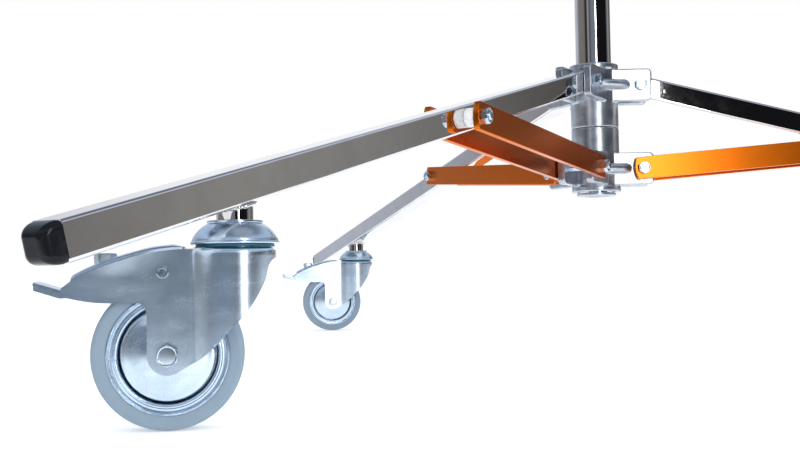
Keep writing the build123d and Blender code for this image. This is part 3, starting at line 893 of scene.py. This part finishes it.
def section_place(s):
    """The fork's outer face seen from above, for a distance s from the middle of its back: a
    quarter of the bowl, a flatter arc of side_r forward to the crease, a small reverse bend,
    then straight along the cheek. Gives x, y and the outward normal; s below zero is the
    other side."""
    side = np.where(s < 0, -1.0, 1.0)
    d = np.abs(s)
    a = pi - d / bowl_r
    b = np.clip(d - bowl_length, 0, side_length) / side_r
    c = side_turn - np.clip(d - bowl_length - side_length, 0, blend_length) / blend_r
    on_bowl = d <= bowl_length
    on_side = (~on_bowl) & (d <= bowl_length + side_length)
    on_blend = (~on_bowl) & (~on_side) & (d <= flat_start)
    parts = [on_bowl, on_side, on_blend]
    x = np.select(parts, [bowl_r * np.cos(a), side_r * np.sin(b), blend_x - blend_r * np.sin(c)],
                  blend_x + d - flat_start)
    y = np.select(parts, [bowl_r * np.sin(a), side_centre + side_r * np.cos(b),
                          cheek_outer + blend_r - blend_r * np.cos(c)], cheek_outer)
    nx = np.select(parts, [np.cos(a), np.sin(b), np.sin(c)], 0.0)
    ny = np.select(parts, [np.sin(a), np.cos(b), np.cos(c)], 1.0)
    return x, y * side, nx, ny * side


def distance_along(x):
    """The distance s from the middle of the back at which the outer face reaches x."""
    x = np.asarray(x, float)
    crease_x = side_r * sin(side_turn)
    on_bowl = bowl_r * (pi - np.arccos(np.clip(x / bowl_r, -1, 0)))
    on_side = bowl_length + side_r * np.arcsin(np.clip(x / side_r, 0, 1))
    share = np.clip((x - crease_x) / (blend_x - crease_x), 0, 1)
    on_blend = bowl_length + side_length + blend_length * share
    return np.select([x <= 0, x <= crease_x, x <= blend_x], [on_bowl, on_side, on_blend],
                     flat_start + x - blend_x)


def nose_top(x):
    """Height of the cheek's upper edge."""
    xs = np.array([27.5, 43.6, 56.6, 76.0, 89.0, 102.0, 110.6])
    zs = np.array([119.2, 118.3, 116.6, 111.4, 106.9, 100.9, 95.0])
    return np.interp(x, *hermite(np.stack([xs, zs], 1), 8).T)


def fork_blank():
    """Outline of the flat blank on one side, in (s, z), from the middle of its back forward
    along the top, round the nose, down the front edge, round the foot and up the back."""
    front = trail + foot_r
    top_x = np.linspace(27.5, 110.6, 34)
    tip = [(110.9, 94.2), (110.2, 91.0), (108.0, 88.6)]
    under = hermite([(108.0, 88.6), (95.6, 85.9), (82.6, 84.6), (68.0, 84.6)], 6)[1:]
    crook = hermite([(68.0, 84.6), (62.6, 84.2), (58.8, 81.6), (front, 77.0)], 6)[1:]
    foot = arc(trail, wheel_r, foot_r, 0, -120, 26)
    back = hermite([foot[-1], (24.6, 46.6), (17.6, 52.2), (4.6, 65.0), (-8.5, 79.3),
                    (-18.2, 95.5), (-21.5, 107.0), (-24.0, 111.0), (-27.2, 113.0)], 7)[1:]
    path = np.concatenate([np.stack([top_x, nose_top(top_x)], 1), tip, under, crook, foot, back])
    s = distance_along(path[:, 0])
    start = np.array([[0.0, 120.3], [20.0, 120.3], [40.0, 120.3], [60.0, 120.2]])
    closing = np.array([[0.0, 113.4]])
    return np.concatenate([start, np.stack([s, path[:, 1]], 1), closing])


def fork_surface(blank_points):
    """Bend flat points (s, z) to the fork's outer face. Above the shoulder, the bowl's wall
    rolls inward by a quarter round of roll_r. Low swellings stiffen the cheek."""
    s, z = blank_points[:, 0], blank_points[:, 1]
    x, y, nx, ny = section_place(s)
    shoulder = 116.0
    on_bowl = 1 - np.clip((np.abs(s) - bowl_length - side_length + 6) / 8, 0, 1)
    on_bowl = on_bowl ** 2 * (3 - 2 * on_bowl)
    over = np.clip((z - shoulder) / (120.3 - shoulder), 0, 1) * pi / 2
    inward = roll_r * (1 - np.cos(over)) * on_bowl
    rise = np.where(z > shoulder, shoulder + (roll_r * np.sin(over)) * on_bowl
                    + (z - shoulder) * (1 - on_bowl), z)
    lift = 0.5 * np.exp(-((x - 70) / 26) ** 2 - ((z - 101) / 9) ** 2)
    side = np.sign(ny)
    return np.stack([x - nx * inward, y - ny * inward + side * lift * (1 - on_bowl), rise], 1)


def fork_shell():
    """Pressed fork: the blank filled with a triangle mesh and bent."""
    half = fork_blank()
    other = half[1:-1][::-1] * np.array([-1, 1])
    outline = np.concatenate([half, other])
    step = 1.6
    s_all, z_all = np.meshgrid(np.arange(-164, 164, step), np.arange(37, 121, step))
    inside = np.stack([s_all.ravel(), z_all.ravel()], 1)
    near = np.min(np.linalg.norm(inside[:, None] - outline[None], axis=2), axis=1) > step * 0.7
    inside = inside[near]
    points = np.concatenate([outline, inside])
    loop = list(range(len(outline)))
    result = delaunay_2d_cdt([tuple(p) for p in points.tolist()], [], [loop], 1, 1e-6)
    flat = np.array([tuple(p) for p in result[0]])
    return flipped((fork_surface(flat), [list(face) for face in result[2]]))


def fork_plate():
    """Fork's top under the race: round behind, and in front a rectangle as wide as the gap
    between the cheeks, with a hole for the race's neck."""
    angle = np.linspace(0, 2 * pi, 96, endpoint=False)
    length = 27.0 / np.maximum(np.cos(angle), 0.1)
    width = (cheek_inner - 0.2) / np.maximum(abs(np.sin(angle)), 0.1)
    reach = np.where(np.cos(angle) > 0.55, np.minimum(length, width), bowl_r - roll_r + 0.4)
    hole = 8.7
    low = fork_top - sheet_thick
    rows = [cylindrical(r, angle, z)
            for r, z in ((reach, fork_top), (hole, fork_top), (hole, low), (reach, low))]
    return flipped(grid(np.stack(rows, 1), True, True))


def lever_pivot():
    """Rivet through both cheeks with a low ringed head each side."""
    face = cheek_outer
    head = [(core_r, face - 0.3), (4.0, face - 0.3), (4.0, face + 0.5), (3.5, face + 1.3),
            (2.9, face + 1.3), (2.3, face + 0.4), (core_r, face + 0.3)]
    shank = laid_along_y(rod(2.6, -face, face), lever_pivot_x, 0, lever_pivot_z)
    return joined(shank, *on_both_sides(turned(head, 40), lever_pivot_x, lever_pivot_z))


def lever_channel():
    """Pressed brake lever: a channel with a crowned top that follows the nose and turns up into
    a foot paddle."""
    paddle_x = 111.0
    paddle_end = 128.3
    step_x = 104.5
    x = np.concatenate([np.linspace(33.0, step_x, 56), np.linspace(105.0, 110.0, 11),
                        np.linspace(paddle_x, paddle_end, 14)])
    body_top = nose_top(x) + 0.9
    paddle_top = 93.0 + 0.31 * np.clip(x - paddle_x, 0, 30)
    step = np.clip((x - step_x) / 3.0, 0, 1)
    step = step * step * (3 - 2 * step)
    edge = body_top * (1 - step) + paddle_top * step
    crown = 3.2 * np.clip((x - 30) / 10, 0, 1) * (1 - step) + 0.8 * step
    wall = np.interp(x, [33, 40, 60, 88, 106, 112, paddle_end],
                     [110, 101, 97.5, 88.5, 88.5, 88.2, 93.6])
    half = cheek_inner - 0.5
    top_share = 0.72
    v = np.linspace(-1, 1, 33)
    across = np.sign(v) * np.clip(np.abs(v) / top_share, 0, 1)
    y = half * np.sin(across * pi / 2)
    on_wall = np.clip((np.abs(v) - top_share) / (1 - top_share), 0, 1)
    arch = np.sqrt(np.clip(1 - (0.985 * across) ** 2, 0, 1))
    z = edge[:, None] + crown[:, None] * (arch[None] - 0.17) / 0.83
    z = z * (1 - on_wall[None]) + wall[:, None] * on_wall[None]
    return grid(np.stack([np.broadcast_to(x[:, None], z.shape),
                          np.broadcast_to(y[None], z.shape), z], 2))


def brake_shoe():
    """Curved plate over the tyre: two arcs round the axle, raised across the wheel's width."""
    inner, outer = (arc(trail, wheel_r, r, 62, 82, 15) for r in (53.6, 57.0))
    shoe = slab(np.concatenate([inner, outer[::-1]]), -15.0, 15.0, 0.4)
    return laid_along_y(mirrored(shoe), 0, 0, 0)


def lever_nut():
    """Adjusting screw that stands up through the lever, with its nut turned by 30 degrees."""
    turn = np.array(Matrix.Rotation(pi / 6, 4, "Z"))
    nut = shifted(moved(hex_nut(8.0), turn), screw_x, 0, 109.2)
    return joined(nut, shifted(threaded(pin_r, 96.0, 117.0), screw_x))


def wheel_turned(profile):
    """Profile of (radius, y) points turned round the axle."""
    return laid_along_y(turned(profile, 144), trail, 0, wheel_r)


def tyre():
    """Rubber tyre: low crown, full shoulders, flat sides with one shallow moulded step."""
    half = wheel_width / 2
    inner = wheel_r - tyre_thick
    right = [(inner, half - 1.3), (inner + 0.5, half - 0.9), (inner + 1.0, half - 0.75),
             (inner + 4.5, half - 0.25), (inner + 6.4, half - 0.1)]
    shoulder = arc(wheel_r - 3.9, half - 3.7, 3.6, 88, 12, 10)
    crown_z = np.linspace(half - 5.2, -(half - 5.2), 9)
    crown = np.stack([wheel_r - 0.45 * (crown_z / (half - 5.2)) ** 2, crown_z], 1)
    right = np.concatenate([right, shoulder])
    left = right[::-1] * np.array([1, -1])
    return wheel_turned(np.concatenate([right, crown, left]))


def rim():
    """Wheel centre: pressed flange with a bright rolled lip inside the tyre, a dished web and
    a bore on the axle sleeve."""
    half = wheel_width / 2
    r = wheel_r - tyre_thick
    right = [(r, half - 2.4), (r - 0.1, half - 0.9)]
    right += arc(r - 0.9, half - 1.0, 0.75, 10, 170, 6).tolist()
    right += [(r - 2.2, half - 2.1), (r - 3.4, half - 2.4), (r - 4.4, half - 2.1)]
    right += arc(r - 5.9, half - 2.5, 1.6, 60, 150, 7).tolist()
    right += [(r - 7.9, half - 2.8), (r - 8.35, half - 3.6), (r - 8.5, half - 6.5),
              (r - 6.5, half - 9.0), (r - 6.5, 3.5), (r - 8.0, 2.2), (12.0, 2.2), (11.0, 3.0),
              (11.0, half - 1.0), (6.05, half - 0.6)]
    right = np.array(right)
    left = right[::-1] * np.array([1, -1])
    return wheel_turned(np.concatenate([[[r, -0.01]], right, left]))


def thread_guards():
    """Dished covers: a rolled edge, a shallow cone and a flat middle held by the cheek."""
    edge = wheel_r - tyre_thick - 8.5 - 1.0
    out = cheek_inner
    profile = [(sleeve_r, out), (12.6, out), (13.6, out - 0.1), (14.8, out - 0.5)]
    profile += hermite([(14.8, out - 0.5), (19.0, out - 1.6), (24.5, out - 2.7),
                        (edge - 1.6, out - 4.2)], 6)[1:].tolist()
    profile += arc(edge - 1.6, out - 5.8, 1.6, 80, -10, 7).tolist()
    profile += [(edge - 0.2, out - 7.6), (edge - 1.5, out - 7.6), (edge - 2.2, out - 6.2),
                (14.4, out - 2.0), (12.4, out - 1.5), (sleeve_r, out - 1.5)]
    cover = turned(np.array(profile)[::-1], 144)
    return joined(*on_both_sides(cover, trail, wheel_r))


def axle():
    """Axle bolt through both cheeks, with its sleeve between the covers."""
    sleeve = ring(sleeve_r, pin_r, -cheek_inner, cheek_inner, 0.2)
    bolt = mirrored(bolt_y(-cheek_outer, cheek_outer, trail, wheel_r))
    return joined(bolt, laid_along_y(sleeve, trail, 0, wheel_r))


column()
foot_plug()
cast_hub("upper_hub_casting", "upper_hub", "slider")
cast_hub("lower_hub_casting", "lower_hub", "root")
leg_pivot_bolts()
lock_bolt()

# Pieces that each leg has: name, shape, frame, body, CAD node, material and edge settings
rows = [
    ("leg_tube_{}", leg_tube, leg_frame, "leg", "leg", "chrome_steel", {"crease": 30}),
    ("leg_end_cap_{}", leg_cap, leg_frame, "leg", "leg_cap", "black_plastic", {"crease": 50}),
    ("leg_bolt_and_rivets_{}", leg_fasteners, leg_frame, "leg", "leg_fasteners",
     "zinc_fasteners", {}),
    ("spacer_sleeves_{}", brace_spacers, leg_frame, "leg", "brace_spacers", "white_nylon", {}),
    ("brace_bar_pair_{}", brace_bars, brace_frame, "brace", "brace_bars", "orange_anodised",
     {"crease": 40}),
    ("brace_bolts_{}", brace_fasteners, brace_frame, "brace", "brace_fasteners",
     "zinc_fasteners", {"crease": 22}),
    ("king_bolt_{}", king_bolt, castor_frame, "leg", "castor_king_bolt", "zinc_fasteners", {}),
    ("race_dome_{}", race, castor_frame, "leg", "castor_race", "zinc_pressed", {"crease": 32}),
    ("bearing_balls_{}", bearing_balls, castor_frame, "castor", "castor_ball_cage",
     "zinc_fasteners", {}),
    ("seal_ring_{}", seal_ring, castor_frame, "castor", "castor_ball_cage", "blue_seal", {}),
    ("fork_shell_{}", fork_shell, castor_frame, "castor", "castor_fork", "zinc_pressed",
     {"crease": 40, "thick": sheet_thick, "bevel": 0.35}),
    ("fork_plate_{}", fork_plate, castor_frame, "castor", "castor_fork", "zinc_pressed", {}),
    ("lever_rivet_{}", lever_pivot, castor_frame, "castor", "lever_pivot", "zinc_fasteners",
     {"crease": 22}),
    ("brake_lever_channel_{}", lever_channel, castor_frame, "lever", "brake_lever",
     "zinc_pressed", {"crease": 45, "thick": 2.0, "bevel": 0.5}),
    ("brake_shoe_{}", brake_shoe, castor_frame, "lever", "brake_lever", "zinc_pressed", {}),
    ("brake_screw_{}", lever_nut, castor_frame, "lever", "lever_nut", "zinc_fasteners",
     {"crease": 22}),
    ("tyre_{}_rubber", tyre, castor_frame, "wheel", "tyre", "grey_rubber", {"crease": 30}),
    ("rim_{}_pressed", rim, castor_frame, "wheel", "rim", "zinc_pressed", {"crease": 32}),
    ("wheel_covers_{}", thread_guards, castor_frame, "castor", "thread_guards", "zinc_pressed",
     {"crease": 32}),
    ("axle_bolt_{}", axle, castor_frame, "castor", "axle", "zinc_fasteners", {"crease": 22}),
]
for name, shape, frame_of, body, node, slot, edges in rows:
    surface = shape()
    for leg in legs:
        piece(name.format(leg), surface, frame_of(leg), f"{body}_{leg}", f"{node}_{leg}", slot,
              **edges)
for leg in legs:
    piece(f"welded_stub_{leg}", castor_stub(leg), castor_frame(leg), f"leg_{leg}",
          f"castor_stub_{leg}", "chrome_steel", crease=40)


# ---------------------------------------------------------------- floor, light and camera

def floor_plane():
    """White floor just below the wheels, from a little in front of the base to far behind."""
    z = castor_frame(1)[2, 3] - 0.0002
    reach = 12.0
    front = -1.0
    corners = [(-reach, front, z), (reach, front, z), (reach, reach, z), (-reach, reach, z)]
    mesh = bpy.data.meshes.new("studio_floor")
    mesh.from_pydata(corners, [], [(0, 1, 2, 3)])
    finish = new_finish("studio_floor_paper", (0.92, 0.93, 0.94), 0.9, Emission_Strength=0.35)
    finish.shader["Emission Color"].default_value = (1.0, 1.0, 1.0, 1.0)
    tone = finish.noise(2.0, 2.0)
    finish.feed(finish.shader["Base Color"], finish.mixed(tone, (0.91, 0.92, 0.935),
                                                          (0.93, 0.94, 0.95)))
    mesh.materials.append(finish.material)
    made = bpy.data.objects.new("studio_floor", mesh)
    bpy.context.scene.collection.objects.link(made)


def softbox(name, azimuth, distance, height, wide, tall, power):
    """Area light at an azimuth from the front (-Y), towards +X, facing the column's foot."""
    angle = radians(azimuth)
    place = np.array([distance * sin(angle), -distance * cos(angle), height])
    light = bpy.data.lights.new(name, "AREA")
    light.shape = "RECTANGLE"
    light.size = wide
    light.size_y = tall
    light.energy = power
    made = bpy.data.objects.new(name, light)
    back = place - np.array([0, 0, 0.05])
    matrix = axes_frame(place, np.cross((0, 0, 1), back), back)
    made.matrix_world = Matrix(matrix.tolist())
    made.visible_camera = False
    bpy.context.scene.collection.objects.link(made)


walls = [
    (-180, (0.95, 0.97, 1.00)), (-166, (0.95, 0.97, 1.00)), (-150, (0.50, 0.54, 0.64)),
    (-126, (0.52, 0.58, 0.68)), (-116, (0.34, 0.34, 0.39)), (-107, (0.22, 0.21, 0.20)),
    (-66, (0.20, 0.19, 0.185)), (-54, (0.03, 0.03, 0.035)), (-32, (0.03, 0.033, 0.04)),
    (-18, (0.17, 0.20, 0.25)), (8, (0.20, 0.235, 0.28)), (12.5, (0.008, 0.008, 0.010)),
    (88, (0.008, 0.008, 0.010)),
    (100, (0.20, 0.195, 0.19)), (110, (0.29, 0.285, 0.275)), (118, (0.24, 0.235, 0.23)),
    (126, (0.11, 0.105, 0.10)), (132, (0.07, 0.066, 0.062)), (142, (0.20, 0.195, 0.19)),
    (160, (0.22, 0.215, 0.21)), (170, (0.95, 0.97, 1.00)), (180, (0.95, 0.97, 1.00)),
]


def studio():
    """Room seen in the metal: dark round the camera, warm grey walls at the sides, a white
    backdrop behind and a pale ceiling. The walls go round by azimuth, in degrees from the
    front (-Y) towards +X. Straight to the camera the room is plain white."""
    world = bpy.data.worlds.new("studio_room")
    world.use_nodes = True
    bpy.context.scene.world = world
    room = Finish(world.node_tree)
    world.node_tree.nodes.clear()
    look = room.node("ShaderNodeTexCoord", output=0)
    split = room.node("ShaderNodeSeparateXYZ", inputs=[look])
    x, y, z = (Signal(room, split.socket.node.outputs[i]) for i in range(3))
    azimuth = room.node("ShaderNodeMath", {"operation": "ARCTAN2"}, [x, y * -1.0]) / (2 * pi)
    height = z.math("ARCSINE") * (180 / pi)
    stops = [(degrees / 360 + 0.5, colour) for degrees, colour in walls]
    colour = room.node("ShaderNodeValToRGB", {"stops": stops}, [azimuth + 0.5])
    colour = room.mixed(height.ramp(16, 34), colour, (0.56, 0.64, 0.78))
    colour = room.mixed(height.ramp(40, 56), colour, (0.17, 0.19, 0.23))
    path = room.node("ShaderNodeLightPath")
    is_camera = Signal(room, path.socket.node.outputs["Is Camera Ray"])
    is_diffuse = Signal(room, path.socket.node.outputs["Is Diffuse Ray"])
    colour = room.mixed(is_diffuse, colour, (0.95, 0.98, 1.02))
    colour = room.mixed(is_camera, colour, (1.0, 1.0, 1.0))
    shade = room.node("ShaderNodeBackground", inputs={0: colour, 1: 1.0})
    out = world.node_tree.nodes.new("ShaderNodeOutputWorld")
    world.node_tree.links.new(shade.socket, out.inputs[0])


def camera():
    """Low three-quarter view of the base from the front, a little to its left."""
    lens = bpy.data.cameras.new("camera")
    lens.sensor_width = 36.0
    lens.lens = 47.87
    lens.clip_start = 0.02
    made = bpy.data.objects.new("camera", lens)
    pitch_up = radians(2.07)
    look = np.array([-0.02897 * cos(pitch_up), 0.99958 * cos(pitch_up), sin(pitch_up)])
    matrix = axes_frame((-0.2013, -1.2925, -0.0972), np.cross(look, (0, 0, 1)), -look)
    made.matrix_world = Matrix(matrix.tolist()) @ Matrix.Rotation(radians(-1.0), 4, "Z")
    bpy.context.scene.collection.objects.link(made)
    bpy.context.scene.camera = made


floor_plane()
studio()
softbox("key_softbox", -37, 1.9, 0.35, 0.42, 1.3, 0.45)
softbox("strip_softbox", 12.5, 1.6, 0.25, 0.12, 1.0, 5.5)
softbox("top_softbox", 20, 0.9, 1.9, 1.4, 1.4, 1.5)
camera()
view = bpy.context.scene.view_settings
view.view_transform = "Standard"
view.look = "None"
